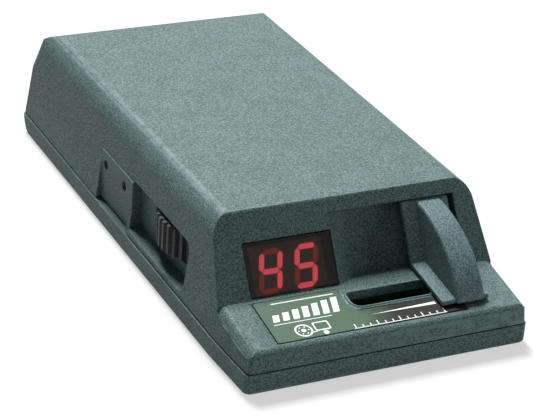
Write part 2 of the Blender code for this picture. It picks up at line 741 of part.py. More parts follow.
def make_power_stage(sink_mat, chip_mat, steel):
    """The two output transistors, screwed to a finned aluminium heat sink."""
    half, plate, fin_deep, fin_half, fins = 26.0, 2.4, 7.4, 0.7, 9
    top = CHIP_LOW + SINK_HIGH
    sink = link_mesh("heat_sink", box(-half, half, SINK_FRONT, SINK_FRONT + plate, CHIP_LOW, top), sink_mat)
    fin_pitch = 2 * (half - 1.2) / (fins - 1)
    for i in range(fins):
        x = -half + 1.2 + fin_pitch * i
        fin = box(x - fin_half, x + fin_half, SINK_FRONT + 1.4, SINK_FRONT + fin_deep, CHIP_LOW, top)
        boolean(sink, guide("sink_fin_%d" % (i + 1), fin), "UNION")
    for i in range(2):
        x = fin_pitch * (4 * i - 2)
        make_transistor("_%d" % (i + 1), x, chip_mat, steel)
        hole = bolt(1.6, SINK_FRONT - 4, SINK_FRONT + 5, x, CHIP_LOW + 17.0)
        boolean(sink, guide("sink_hole_%d" % (i + 1), hole))


def make_transistor(suffix, x, chip_mat, steel):
    """A power transistor with a bolted tab and three legs, and its screw."""
    half, back, bolt_z = 5.0, SINK_FRONT - GAP, CHIP_LOW + 17.0
    block = box(x - half, x + half, back - 4.4, back, CHIP_LOW + 3.5, CHIP_LOW + 12.6)
    body = link_mesh("output_transistor" + suffix, block, chip_mat)
    tab = box(x - half, x + half, back - 1.3, back, CHIP_LOW + 12.0, CHIP_LOW + 20.0)
    boolean(body, guide("transistor_tab" + suffix, tab), "UNION")
    leg_pitch, leg_half = 2.54, 0.4
    for k in (-1, 0, 1):
        left = x + leg_pitch * k - leg_half
        leg = box(left, left + 2 * leg_half, back - 2.1, back - 1.5, CHIP_LOW, CHIP_LOW + 4.0)
        boolean(body, guide("leg%s_%d" % (suffix, k + 2), leg), "UNION")
    boolean(body, guide("tab_hole" + suffix, bolt(1.8, back - 6, back + 2, x, bolt_z)))
    screw = link_mesh("transistor_screw" + suffix, bolt(1.3, back - 2.3, back + 2.3, x, bolt_z), steel)
    head = bolt(2.7, back - 3.4, back - 1.6, x, bolt_z, 20)
    boolean(screw, guide("transistor_screw_head" + suffix, head), "UNION")


def make_connector(shell_mat, blade_mat):
    """The four-blade inlet in the back wall."""
    half, wall = CONNECTOR_HALF, 1.5
    body = box(-half, half, CONNECTOR_FRONT, CONNECTOR_MOUTH, CHIP_LOW, CONNECTOR_HIGH)
    shell = link_mesh("connector_shell", body, shell_mat)
    inner, floor = half - wall, CHIP_LOW + wall
    socket = box(-inner, inner, CONNECTOR_FRONT + 4, DEPTH + 4, floor, CONNECTOR_HIGH - wall)
    boolean(shell, guide("connector_socket", socket))
    middle = (CHIP_LOW + CONNECTOR_HIGH) / 2
    for i in range(4):
        x = BLADE_PITCH * (i - 1.5)
        reach = BLADE_HALF + GAP
        slit = box(x - reach, x + reach, CONNECTOR_FRONT - 6, CONNECTOR_FRONT + 9, middle - 0.7, middle + 0.7)
        boolean(shell, guide("blade_slit_%d" % (i + 1), slit))
        make_blade("_%d" % (i + 1), x, middle, blade_mat)


def make_blade(suffix, x, middle, mat):
    """A flat blade with a chamfered tip, and a foot down to the board."""
    back, tip = CONNECTOR_FRONT - 1.5, CONNECTOR_MOUTH - 2.5
    chamfer, half_thick = 1.2, 0.4
    left, right = x - BLADE_HALF, x + BLADE_HALF
    outline = [(left, back), (right, back), (right, tip - chamfer), (right - chamfer, tip)]
    outline += [(left + chamfer, tip), (left, tip - chamfer)]
    flat = extrude_outline(outline, middle - half_thick, middle + half_thick, along_z)
    blade = link_mesh("blade_terminal" + suffix, flat, mat)
    foot = box(x - 1.0, x + 1.0, back, back + 0.8, CHIP_LOW, middle)
    boolean(blade, guide("blade_foot" + suffix, foot), "UNION")


def make_screws(steel):
    """Four cross-head screws that hold the shells together, and three that hold the main board."""
    for i, (x, y) in enumerate(SHELL_SCREWS):
        suffix = "_%d" % (i + 1)
        low, head_top, slot_top = 0.5, 2.2, 1.3
        tip = ledge_z(y) - WALL - 0.6 if y < LEDGE_Y else 12.0
        screw = link_mesh("housing_screw" + suffix, disc(1.4, low, tip, x, y, 16), steel)
        boolean(screw, guide("housing_screw_head" + suffix, disc(2.6, low, head_top, x, y, 20)), "UNION")
        arm, half = 1.5, 0.3
        boolean(screw, guide("slot_across" + suffix, box(x - arm, x + arm, y - half, y + half, -1, slot_top)))
        boolean(screw, guide("slot_along" + suffix, box(x - half, x + half, y - arm, y + arm, -1, slot_top)))
    for i, (x, y) in enumerate(BOARD_SCREWS):
        suffix = "_%d" % (i + 1)
        screw = link_mesh("board_screw" + suffix, disc(1.1, 1.3, BOARD_TOP + 1.0, x, y, 12), steel)
        head = disc(2.4, CHIP_LOW, BOARD_TOP + 1.8, x, y, 16)
        boolean(screw, guide("board_screw_head" + suffix, head), "UNION")


def make_materials():
    return {
        "shell": plastic_or_metal("shell_plastic", (0.075, 0.09, 0.088), 0.62),
        "lens": plastic_or_metal("smoked_lens", (0.05, 0.018, 0.015), 0.15),
        "label": plastic_or_metal("label_film", (0.10, 0.13, 0.105), 0.5),
        "lever": plastic_or_metal("lever_plastic", (0.085, 0.10, 0.10), 0.5),
        "nylon": plastic_or_metal("slide_nylon", (0.75, 0.74, 0.70), 0.45),
        "wheel": plastic_or_metal("wheel_plastic", (0.03, 0.03, 0.032), 0.45),
        "steel": plastic_or_metal("zinc_steel", (0.62, 0.63, 0.64), 0.35, 1.0),
        "sink": plastic_or_metal("sink_aluminium", (0.72, 0.73, 0.74), 0.4, 1.0),
        "brass": plastic_or_metal("tinned_brass", (0.78, 0.70, 0.50), 0.3, 1.0),
        "board": plastic_or_metal("board_laminate", (0.03, 0.16, 0.07), 0.5),
        "digits": plastic_or_metal("digit_module", (0.55, 0.02, 0.02), 0.4, emission=0.4),
        "chip": plastic_or_metal("black_epoxy", (0.025, 0.025, 0.027), 0.4),
        "relay": plastic_or_metal("relay_case", (0.03, 0.10, 0.30), 0.4),
        "can": plastic_or_metal("capacitor_sleeve", (0.02, 0.03, 0.09), 0.35),
        "pot": plastic_or_metal("pot_case", (0.05, 0.12, 0.16), 0.45),
        "ribbon": plastic_or_metal("ribbon_vinyl", (0.55, 0.56, 0.56), 0.5),
    }


def build():
    clear_scene()
    mats = make_materials()
    make_upper_housing(mats["shell"])
    make_bottom_tray(mats["shell"])
    make_label(mats["label"])
    make_lens(mats["lens"])
    make_display(mats["digits"], mats["board"])
    make_ribbon(mats["ribbon"])
    make_lever(mats["lever"])
    make_slide(mats["nylon"], mats["steel"], mats["steel"], mats["pot"])
    make_gain_control(mats["wheel"], mats["nylon"], mats["pot"])
    make_main_board(mats["board"])
    parts = {
        "microcontroller": mats["chip"],
        "clock_crystal": mats["steel"],
        "stoplight_relay": mats["relay"],
        "current_shunt": mats["steel"],
        "flyback_diode": mats["chip"],
        "capacitor": mats["can"],
    }
    make_electronics(parts)
    make_power_stage(mats["sink"], mats["chip"], mats["steel"])
    make_connector(mats["chip"], mats["brass"])
    make_screws(mats["steel"])


build()
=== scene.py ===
"""Looks of the brake controller unit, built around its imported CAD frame.

Local coordinates are millimetres: x to the right, y back from the nose's front face, z up.
"""

import json
import math

import bmesh
import bpy
from mathutils import Matrix, Vector

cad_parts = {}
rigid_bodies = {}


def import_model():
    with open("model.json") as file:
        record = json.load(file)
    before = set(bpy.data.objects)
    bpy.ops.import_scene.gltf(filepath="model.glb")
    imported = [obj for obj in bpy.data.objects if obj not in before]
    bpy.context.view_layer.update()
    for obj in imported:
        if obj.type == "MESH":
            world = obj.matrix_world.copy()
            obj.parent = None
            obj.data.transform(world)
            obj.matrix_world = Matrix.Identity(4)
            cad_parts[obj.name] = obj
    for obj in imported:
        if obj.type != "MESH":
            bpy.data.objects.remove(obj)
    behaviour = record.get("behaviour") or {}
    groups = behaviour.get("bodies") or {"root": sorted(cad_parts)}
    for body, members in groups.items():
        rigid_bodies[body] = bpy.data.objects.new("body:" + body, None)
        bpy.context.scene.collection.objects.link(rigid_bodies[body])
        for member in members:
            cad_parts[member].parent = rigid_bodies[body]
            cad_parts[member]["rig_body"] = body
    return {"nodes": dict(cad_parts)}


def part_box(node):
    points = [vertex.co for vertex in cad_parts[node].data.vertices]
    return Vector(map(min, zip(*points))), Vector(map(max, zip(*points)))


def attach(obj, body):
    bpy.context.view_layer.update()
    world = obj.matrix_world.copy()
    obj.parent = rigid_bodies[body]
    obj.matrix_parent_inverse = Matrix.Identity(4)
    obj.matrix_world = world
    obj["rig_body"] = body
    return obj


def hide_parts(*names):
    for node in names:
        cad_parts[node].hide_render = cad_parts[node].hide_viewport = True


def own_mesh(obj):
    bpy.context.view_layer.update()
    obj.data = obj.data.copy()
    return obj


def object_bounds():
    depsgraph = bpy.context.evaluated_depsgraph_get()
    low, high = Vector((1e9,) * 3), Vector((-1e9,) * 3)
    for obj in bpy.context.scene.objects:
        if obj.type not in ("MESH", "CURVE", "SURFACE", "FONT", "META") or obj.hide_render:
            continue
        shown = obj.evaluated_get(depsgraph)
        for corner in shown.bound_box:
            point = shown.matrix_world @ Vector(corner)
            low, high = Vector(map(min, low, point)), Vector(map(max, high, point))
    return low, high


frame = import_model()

MM = 0.001
MATT_SPECULAR = 0.1       # specular level of the textured plastic and the film
CAD_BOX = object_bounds()
NODES = frame["nodes"]
NOSE = CAD_BOX[0][1] / MM

# The raked face and the ledge, as the CAD has them
LEDGE_Y = 19.7
LEDGE_Z = 14.3
NOSE_Z = 11.3
RAKE = 0.63               # how far the face leans back, per millimetre of height
LEDGE_SLOPE = (LEDGE_Z - NOSE_Z) / LEDGE_Y
FACE_ANGLE = math.atan(RAKE)

# The slot's edge in the ledge
SLOT_LEFT, SLOT_RIGHT = -5.4, 30.0
SLOT_FRONT, SLOT_BACK = 10.7, 16.4
SLOT_CORNER = 2.4         # the front left corner's radius
SLOT_SMALL_CORNER = 0.8   # that of the other three

# Digits: centre lines of their bars, measured up the raked face
DIGIT_LEFTS = (-26.1, -16.2)
DIGIT_LOW = 1.75
DIGIT_WIDE = 5.1
DIGIT_HIGH = 9.75
DIGIT_SLANT = 0.19
BAR_THICK = 1.35
BAR_GAP = 0.16            # between a bar's tip and the corner where its centre line would end
BAR_CLEAR = 0.02          # under a bar, above the module's face
BAR_PROUD = 0.14
MODULE_DEEP = 2.4         # the module's face behind the raked face
READING = ("4", "5")
BARS_OF = {"4": "bcfg", "5": "acdfg"}

# Label and its print
LABEL_TOP = 0.12          # the film's surface above the ledge
PRINT_THICK = 0.03
PRINT_TOP = LABEL_TOP + PRINT_THICK
PRINT_WHEEL = (-22.2, 5.5)                # middle of the wheel in the pictogram
PAINTED_REFLECTION_START, PAINTED_REFLECTION_FULL = -7.0, 2.0         # x where the painted reflection of the dark pocket fades in on the film
SEAT_MARGIN = 0.6 * MM                    # edges this near the film's box belong to its seat

# Edges of the finished pieces
WELD_DISTANCE = 0.001 * MM
ROUNDED_ANGLE = math.radians(35)          # CAD edges sharper than this are rounded
SHARP_ANGLE = math.radians(40)            # made edges sharper than this are shaded sharp
BEVEL_SEGMENTS = 2


# ---------------------------------------------------------------- places

def place(x, y, z):
    """A point of the local coordinates, in metres in the frame."""
    return Vector((x, NOSE + y, z)) * MM


def on_ledge(x, y, lift):
    """A point above the sloping ledge."""
    return place(x, y, NOSE_Z + LEDGE_SLOPE * y + lift)


def on_face(x, up, deep):
    """A point on the raked face, measured up along it from the ledge and straight in from it."""
    sine, cosine = math.sin(FACE_ANGLE), math.cos(FACE_ANGLE)
    return place(x, LEDGE_Y + up * sine + deep * cosine, LEDGE_Z + up * cosine - deep * sine)


# ---------------------------------------------------------------- material helpers

def new_material(name):
    """A material with its node tree and its shader."""
    mat = bpy.data.materials.new(name)
    mat.use_nodes = True
    return mat, mat.node_tree, mat.node_tree.nodes["Principled BSDF"]


def object_coords(tree, scale, stretch=(1.0, 1.0, 1.0)):
    """Object coordinates in metres, times a scale that may differ along each axis."""
    coords = tree.nodes.new("ShaderNodeTexCoord")
    mapping = tree.nodes.new("ShaderNodeMapping")
    mapping.inputs["Scale"].default_value = [scale * part for part in stretch]
    tree.links.new(coords.outputs["Object"], mapping.inputs["Vector"])
    return mapping.outputs["Vector"]


def noise(tree, grain_mm, detail=3.0, rough=0.55, stretch=(1.0, 1.0, 1.0)):
    """A noise whose lumps are about grain_mm wide."""
    node = tree.nodes.new("ShaderNodeTexNoise")
    node.inputs["Scale"].default_value = 1.0
    node.inputs["Detail"].default_value = detail
    node.inputs["Roughness"].default_value = rough
    tree.links.new(object_coords(tree, 1.0 / (grain_mm * MM), stretch), node.inputs["Vector"])
    return node.outputs["Fac"]


def remap(tree, value, low, high, out_low, out_high):
    """Brings a value from one range to another, and holds it at that range's ends."""
    node = tree.nodes.new("ShaderNodeMapRange")
    node.inputs["From Min"].default_value = low
    node.inputs["From Max"].default_value = high
    node.inputs["To Min"].default_value = out_low
    node.inputs["To Max"].default_value = out_high
    tree.links.new(value, node.inputs["Value"])
    return node.outputs["Result"]


def combine(tree, operation, first, second, clamp=True):
    """A math node on two values, of which the second may be a plain number; clamp keeps it in 0 to 1."""
    node = tree.nodes.new("ShaderNodeMath")
    node.operation = operation
    node.use_clamp = clamp
    tree.links.new(first, node.inputs[0])
    if isinstance(second, float):
        node.inputs[1].default_value = second
    else:
        tree.links.new(second, node.inputs[1])
    return node.outputs["Value"]


def blend_colours(tree, factor, first, second):
    """Mixes two colours, of which the first may be another node's output."""
    node = tree.nodes.new("ShaderNodeMix")
    node.data_type = "RGBA"
    if isinstance(first, tuple):
        node.inputs["A"].default_value = (*first, 1.0)
    else:
        tree.links.new(first, node.inputs["A"])
    node.inputs["B"].default_value = (*second, 1.0)
    tree.links.new(factor, node.inputs["Factor"])
    return node.outputs["Result"]


def add_bump(tree, shader, heights, depths_mm):
    """Chains one Bump node per height, each with its own depth."""
    last = None
    for height, depth in zip(heights, depths_mm):
        bump = tree.nodes.new("ShaderNodeBump")
        bump.inputs["Distance"].default_value = depth * MM
        tree.links.new(height, bump.inputs["Height"])
        if last:
            tree.links.new(last, bump.inputs["Normal"])
        last = bump.outputs["Normal"]
    tree.links.new(last, shader.inputs["Normal"])


def edge_wear(tree):
    """Up to 0.8 on worn outer edges, broken up by a coarse noise, and 0 elsewhere."""
    geometry = tree.nodes.new("ShaderNodeNewGeometry")
    edge = remap(tree, geometry.outputs["Pointiness"], 0.53, 0.62, 0.0, 1.0)
    return combine(tree, "MULTIPLY", edge, remap(tree, noise(tree, 2.5), 0.35, 0.6, 0.1, 0.8))


def spark_plastic(name, dark, light, rough=0.5, depth=0.06, grain_mm=0.43):
    """Moulded plastic with an eroded spark texture, faint blotches and slightly rubbed edges."""
    mat, tree, shader = new_material(name)
    grain = noise(tree, grain_mm, 2.0, 0.6)
    blotch = noise(tree, 9.0, 4.0, 0.6)
    speckle = remap(tree, grain, 0.43, 0.58, 0.0, 1.0)
    shade = combine(tree, "MULTIPLY", speckle, 0.82)
    shade = combine(tree, "ADD", shade, remap(tree, blotch, 0.3, 0.7, 0.0, 0.18))
    colour = blend_colours(tree, shade, dark, light)
    rubbed = tuple(1.25 * part for part in light)
    tree.links.new(blend_colours(tree, edge_wear(tree), colour, rubbed), shader.inputs["Base Color"])
    tree.links.new(remap(tree, grain, 0.3, 0.7, rough + 0.08, rough - 0.08), shader.inputs["Roughness"])
    shader.inputs["Specular IOR Level"].default_value = MATT_SPECULAR
    add_bump(tree, shader, [noise(tree, grain_mm * 1.3, 3.0, 0.6), blotch], [depth, 0.02])
    return mat


def plain(name, colour, rough, metallic=0.0, grain_mm=0.8, depth=0.01, spread=0.15, stretch=(1.0, 1.0, 1.0)):
    """A simple finish that still varies: a fine grain in colour, gloss and relief."""
    mat, tree, shader = new_material(name)
    grain = noise(tree, grain_mm, 4.0, 0.55, stretch)
    smudge = noise(tree, 6.0 * grain_mm, 3.0)
    darker = tuple(part * (1.0 - spread) for part in colour)
    lighter = tuple(min(1.0, part * (1.0 + spread)) for part in colour)
    tree.links.new(blend_colours(tree, grain, darker, lighter), shader.inputs["Base Color"])
    tree.links.new(remap(tree, smudge, 0.3, 0.7, rough - 0.07, rough + 0.07), shader.inputs["Roughness"])
    shader.inputs["Metallic"].default_value = metallic
    add_bump(tree, shader, [grain], [depth])
    return mat


def metal(name, colour, rough, grain_mm, spread, stretch, depth=0.006):
    """A bare metal, whose grain is drawn out along the axis that stretch makes small."""
    return plain(name, colour, rough, 1.0, grain_mm, depth, spread, stretch)


def glowing(name, colour, strength):
    """A bar's red diffuser, whose glow is a little uneven; at low strength the glow is painted light on an
    unlit bar.
    """
    mat, tree, shader = new_material(name)
    shader.inputs["Base Color"].default_value = (0.3, 0.02, 0.02, 1.0)
    shader.inputs["Roughness"].default_value = 0.4
    paler = tuple(min(1.0, part * 1.3 + 0.02) for part in colour)
    tree.links.new(blend_colours(tree, noise(tree, 1.2), colour, paler), shader.inputs["Emission Color"])
    shader.inputs["Emission Strength"].default_value = strength
    return mat


def smoked_glass(name):
    """The window: brown smoked acrylic with faint wipe marks."""
    mat, tree, shader = new_material(name)
    shader.inputs["Base Color"].default_value = (0.34, 0.25, 0.23, 1.0)
    shader.inputs["Transmission Weight"].default_value = 1.0
    shader.inputs["IOR"].default_value = 1.49
    wipe = noise(tree, 1.6, 4.0, 0.6, (0.15, 1.0, 1.0))
    tree.links.new(remap(tree, wipe, 0.35, 0.7, 0.05, 0.13), shader.inputs["Roughness"])
    return mat


def label_film(name):
    """Printed film: a grey-green panel with a fine matt screen grain, into which a painted reflection of the
    dark pocket above fades towards the right.
    """
    mat, tree, shader = new_material(name)
    grain = noise(tree, 0.35, 2.0)
    patch = noise(tree, 7.0, 3.0)
    colour = blend_colours(tree, grain, (0.026, 0.055, 0.031), (0.052, 0.090, 0.060))
    faded = remap(tree, patch, 0.4, 0.75, 0.0, 0.4)
    colour = blend_colours(tree, faded, colour, (0.050, 0.070, 0.062))
    # Painted reflection: towards the right, along x and with a wavering edge, the film turns near black, as
    # if it mirrored the dark pocket above it.
    across = tree.nodes.new("ShaderNodeSeparateXYZ")
    tree.links.new(object_coords(tree, 1.0 / MM), across.inputs["Vector"])
    waver = remap(tree, patch, 0.3, 0.7, -2.5, 2.5)
    wavy = combine(tree, "ADD", across.outputs["X"], waver, clamp=False)
    dark = remap(tree, wavy, PAINTED_REFLECTION_START, PAINTED_REFLECTION_FULL, 0.0, 1.0)
    tree.links.new(blend_colours(tree, dark, colour, (0.010, 0.010, 0.008)), shader.inputs["Base Color"])
    tree.links.new(remap(tree, patch, 0.3, 0.7, 0.40, 0.52), shader.inputs["Roughness"])
    shader.inputs["Specular IOR Level"].default_value = MATT_SPECULAR
    add_bump(tree, shader, [grain], [0.015])
    return mat


# ---------------------------------------------------------------- mesh helpers

def piece(name, bm, mat, body="housing"):
    """Turns a bmesh in metres into a smooth-shaded object that rides on a body."""
    mesh = bpy.data.meshes.new(name)
    bm.to_mesh(mesh)
    bm.free()
    mesh.shade_smooth()
    mesh.materials.append(mat)
    obj = bpy.data.objects.new(name, mesh)
    bpy.context.scene.collection.objects.link(obj)
    even = obj.modifiers.new("even_shading", "WEIGHTED_NORMAL")
    even.keep_sharp = True
    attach(obj, body)
    return obj


def crisp(faces):
    """Marks the faces' edges that turn by more than SHARP_ANGLE as sharp."""
    for face in faces:
        for edge in face.edges:
            edge.smooth = edge.calc_face_angle(0.0) < SHARP_ANGLE


def join_rings(bm, near, far):
    """Faces between two rings of vertices that have the same number of points."""
    pairs = list(zip(near, far))
    following = pairs[1:] + pairs[:1]
    return [bm.faces.new((a, next_a, next_b, b)) for (a, b), (next_a, next_b) in zip(pairs, following)]


def slab(bm, outline, where, low, high):
    """Adds a thin prism: each outline point (a, b) becomes where(a, b, c) at c = low and c = high."""
    near = [bm.verts.new(where(a, b, low)) for a, b in outline]
    far = [bm.verts.new(where(a, b, high)) for a, b in outline]
    faces = [bm.faces.new(near), bm.faces.new(far), *join_rings(bm, near, far)]
    bmesh.ops.recalc_face_normals(bm, faces=faces)
    crisp(faces)


def rectangle(x0, x1, y0, y1, slant=0.0):
    """Four corners; slant pushes the upper edge to the right."""
    push = slant * (y1 - y0)
    return [(x0, y0), (x1, y0), (x1 + push, y1), (x0 + push, y1)]


def circle(x, y, radius, steps=28):
    """The outline of a disc."""
    turns = [2 * math.pi * i / steps for i in range(steps)]
    return [(x + radius * math.cos(a), y + radius * math.sin(a)) for a in turns]


def band(bm, outer, inner, where, low, high):
    """Adds a closed frame between two outlines that have the same number of points."""
    corners = [(outer, low), (outer, high), (inner, high), (inner, low)]
    rings = [[bm.verts.new(where(a, b, level)) for a, b in outline] for outline, level in corners]
    faces = []
    for near, far in zip(rings, rings[1:] + rings[:1]):
        faces += join_rings(bm, near, far)
    bmesh.ops.recalc_face_normals(bm, faces=faces)
    crisp(faces)


def rounded_box(x0, x1, y0, y1, radii, steps=6):
    """A rectangle whose corners (front left, front right, back right, back left) are rounded."""
    centres = [(x0, y0, 1, 1), (x1, y0, -1, 1), (x1, y1, -1, -1), (x0, y1, 1, -1)]
    points = []
    for turn, ((x, y, right, up), radius) in enumerate(zip(centres, radii)):
        for i in range(steps + 1):
            angle = math.pi + math.pi / 2 * (turn + i / steps)
            centre = (x + right * radius, y + up * radius)
            points.append((centre[0] + radius * math.cos(angle), centre[1] + radius * math.sin(angle)))
    return points


def in_label_seat(edge):
    """Whether an edge belongs to the label's shallow seat, whose rim stays crisp."""
    low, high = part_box("label_plate")
    return all(
        low.x - SEAT_MARGIN < vert.co.x < high.x + SEAT_MARGIN
        and low.y - SEAT_MARGIN < vert.co.y < high.y + SEAT_MARGIN
        and vert.co.z > low.z - SEAT_MARGIN
        for vert in edge.verts
    )


def softened(name, mat, edge_mm):
    """Puts a copy with rounded edges in the place of a CAD node, on the same body."""
    node = NODES[name]
    bm = bmesh.new()
    bm.from_mesh(node.data)
    bmesh.ops.remove_doubles(bm, verts=bm.verts, dist=WELD_DISTANCE)
    corners = [edge for edge in bm.edges if edge.calc_face_angle(0.0) > ROUNDED_ANGLE]
    if name != "manual_lever":            # the lever stands over the seat, so all its edges are rounded
        corners = [edge for edge in corners if not in_label_seat(edge)]
    bmesh.ops.bevel(
        bm, geom=corners, offset=edge_mm * MM, offset_type="OFFSET", segments=BEVEL_SEGMENTS, profile=0.5,
        affect="EDGES", clamp_overlap=False, loop_slide=True,
    )
    obj = piece(name + "_finished", bm, mat, node["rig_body"])
    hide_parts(name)


# ---------------------------------------------------------------- display

def bar_outlines():
    """The seven bars of a digit, as hexagons in (across, up) from the digit's lower left centre line."""
    half, gap = BAR_THICK / 2, BAR_GAP
    wide, high = DIGIT_WIDE, DIGIT_HIGH

    def lying(up):
        left, right = gap, wide - gap
        return [
            (left, up), (left + half, up + half), (right - half, up + half),
            (right, up), (right - half, up - half), (left + half, up - half),
        ]

    def standing(across, low):
        low, top = low + gap, low + high / 2 - gap
        return [
            (across, low), (across + half, low + half), (across + half, top - half),
            (across, top), (across - half, top - half), (across - half, low + half),
        ]

    return {
        "a": lying(high), "b": standing(wide, high / 2), "c": standing(wide, 0.0), "d": lying(0.0),
        "e": standing(0.0, 0.0), "f": standing(0.0, high / 2), "g": lying(high / 2),
    }


def make_digits(lit_mat, unlit_bar_painted_glow_mat):
    """The bars of both digits on the module's face: the lit ones glow, the unlit ones have a faint painted
    glow.
    """
    lit, off = bmesh.new(), bmesh.new()
    under, top = MODULE_DEEP - BAR_CLEAR, MODULE_DEEP - BAR_PROUD
    for left, figure in zip(DIGIT_LEFTS, READING):
        for letter, outline in bar_outlines().items():
            slanted = [(left + a + DIGIT_SLANT * b, DIGIT_LOW + b) for a, b in outline]
            slab(lit if letter in BARS_OF[figure] else off, slanted, on_face, under, top)
    piece("digit_bars_lit", lit, lit_mat)
    piece("digit_bars_dark", off, unlit_bar_painted_glow_mat)


# ---------------------------------------------------------------- label print

def rising_bars():
    """Seven slanted bars that grow to the right, between two rules."""
    left, low, pitch, width, slant = -28.2, 10.2, 2.75, 1.75, 0.28
    shortest, growth = 2.6, 0.5
    for i in range(7):
        x = left + pitch * i
        yield rectangle(x, x + width, low, low + shortest + growth * i, slant)
    yield rectangle(-26.0, -8.6, 16.9, 17.25)
    yield rectangle(-28.6, -12.6, 9.05, 9.3)


def wheel_and_trailer():
    """The filled marks of a pictogram: a hub with six bolts round it, a small wheel and a drawbar."""
    x, y = PRINT_WHEEL
    bolt_ring, bolts = 1.35, 6
    yield circle(x, y, 0.65, 16)
    for i in range(bolts):
        angle = 2 * math.pi * i / bolts
        yield circle(x + bolt_ring * math.cos(angle), y + bolt_ring * math.sin(angle), 0.22, 10)
    yield circle(-16.9, 3.5, 0.75, 18)
    yield rectangle(-20.2, -19.0, 4.2, 4.5)


def lever_scale():
    """A wedge that rises to the right, over a ruled scale whose every third mark is tall."""
    yield [(-3.0, 6.9), (15.6, 6.5), (15.6, 7.5)]
    left, low, pitch, width = -9.0, 3.0, 2.1, 0.32
    for i in range(13):
        x = left + pitch * i
        tall = 1.5 if i % 3 == 0 else 0.9
        yield rectangle(x, x + width, low, low + tall)
    yield rectangle(-9.4, 16.8, 2.7, 2.95)


def make_label_print(mat):
    """The generic print on the film: bars, a pictogram with its wheel rim and box, and a scale."""
    bm = bmesh.new()
    for outline in [*rising_bars(), *wheel_and_trailer(), *lever_scale()]:
        slab(bm, outline, on_ledge, LABEL_TOP, PRINT_TOP)
    band(bm, circle(*PRINT_WHEEL, 2.35), circle(*PRINT_WHEEL, 1.9), on_ledge, LABEL_TOP, PRINT_TOP)
    outer = rounded_box(-19.2, -14.9, 4.5, 7.8, [0.5] * 4)
    inner = rounded_box(-18.8, -15.3, 4.9, 7.4, [0.3] * 4)
    band(bm, outer, inner, on_ledge, LABEL_TOP, PRINT_TOP)
    piece("label_print", bm, mat)


def make_slot_bead(mat):
    """The low rounded rim round the lever's slot, a little sunk in the ledge."""
    wide, high, clear, sunk, steps = 0.6, 0.32, 0.02, 0.06, 5
    bm = bmesh.new()
    rings = []
    for i in range(steps + 1):
        angle = math.pi * i / steps
        grow = wide / 2 * (1 - math.cos(angle)) + clear
        radii = [SLOT_CORNER + grow] + [SLOT_SMALL_CORNER + grow] * 3
        outline = rounded_box(SLOT_LEFT - grow, SLOT_RIGHT + grow, SLOT_FRONT - grow, SLOT_BACK + grow, radii)
        lift = high * math.sin(angle) - sunk
        rings.append([bm.verts.new(on_ledge(x, y, lift)) for x, y in outline])
    for near, far in zip(rings, rings[1:] + rings[:1]):
        join_rings(bm, near, far)
    bmesh.ops.recalc_face_normals(bm, faces=bm.faces)
    piece("slot_rim", bm, mat)


# ---------------------------------------------------------------- return spring

def wire_rings(bm, low, high):
    """Rings of vertices along an open coil that fills the box between two corners, along X."""
    middle = (low + high) / 2
    wire_r, turns, per_turn, sides = 0.3 * MM, 9, 24, 8
    coil_r = (high.y - low.y) / 2 - wire_r
    length = high.x - low.x - 2 * wire_r
    steps = turns * per_turn
    rings = []
    for i in range(steps + 1):
        angle = 2 * math.pi * i / per_turn
        outward = Vector((0.0, math.cos(angle), math.sin(angle)))
        centre = Vector((low.x + wire_r + length * i / steps, middle.y, middle.z)) + outward * coil_r
        ring = []
        for k in range(sides):
            lean = 2 * math.pi * k / sides
            offset = outward * math.cos(lean) + Vector((math.sin(lean), 0.0, 0.0))
            ring.append(bm.verts.new(centre + offset * wire_r))
        rings.append(ring)
    return rings


def make_spring(mat):
    """The open coil on the rail, built at one length; on the real unit it shortens towards its fixed left end
    as the lever slides.
    """
    low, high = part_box("return_spring")
    bm = bmesh.new()
    rings = wire_rings(bm, low, high)
    for near, far in zip(rings, rings[1:]):
        join_rings(bm, near, far)
    bm.faces.new(rings[0])
    bm.faces.new(rings[-1])
    bmesh.ops.recalc_face_normals(bm, faces=bm.faces)
    spring = piece("return_spring_coil", bm, mat)
    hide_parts("return_spring")
    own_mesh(spring)


# ---------------------------------------------------------------- stage, light and camera

def make_floor():
    """A white light table: it glows a little, so that shadows on it stay faint."""
    side, clear = 6.0, 0.2 * MM
    bpy.ops.mesh.primitive_plane_add(size=side, location=(0, 0, CAD_BOX[0][2] - clear))
    floor = bpy.context.object
    floor.name = "floor"
    mat, _, shader = new_material("floor_paper")
    shader.inputs["Base Color"].default_value = (0.17, 0.17, 0.17, 1.0)
    shader.inputs["Roughness"].default_value = 0.95
    shader.inputs["Specular IOR Level"].default_value = 0.0
    shader.inputs["Emission Color"].default_value = (1.0, 1.0, 1.0, 1.0)
    shader.inputs["Emission Strength"].default_value = 0.58
    floor.data.materials.append(mat)


def area_light(name, spot, target, size, power):
    """A rectangular lamp that faces a target; lengths in metres, power in watts."""
    data = bpy.data.lights.new(name, "AREA")
    data.shape = "RECTANGLE"
    data.size, data.size_y = size
    data.energy = power
    lamp = bpy.data.objects.new(name, data)
    lamp.location = spot
    lamp.rotation_euler = (Vector(target) - Vector(spot)).to_track_quat("-Z", "Y").to_euler()
    bpy.context.scene.collection.objects.link(lamp)


def make_lights():
    """A key light from behind and above, a low one behind, a weak front fill and a white surround."""
    world = bpy.data.worlds.new("studio")
    world.use_nodes = True
    surround = world.node_tree.nodes["Background"]
    surround.inputs["Color"].default_value = (1.0, 1.0, 1.0, 1.0)
    surround.inputs["Strength"].default_value = 0.3
    bpy.context.scene.world = world
    elevation, azimuth, away = math.radians(61), math.radians(4), 1.6
    flat = math.cos(elevation)
    spot = Vector((math.sin(azimuth) * flat, math.cos(azimuth) * flat, math.sin(elevation))) * away
    area_light("key_softbox", spot, (0, 0, 0.02), (0.42, 0.42), 76.0)
    area_light("sheen_softbox", (0.55, 1.1, 0.65), (0, 0, 0.02), (0.7, 0.4), 4.0)
    area_light("front_fill", (0.95, -0.85, 0.16), (0, -0.04, 0.02), (0.5, 0.3), 5.0)


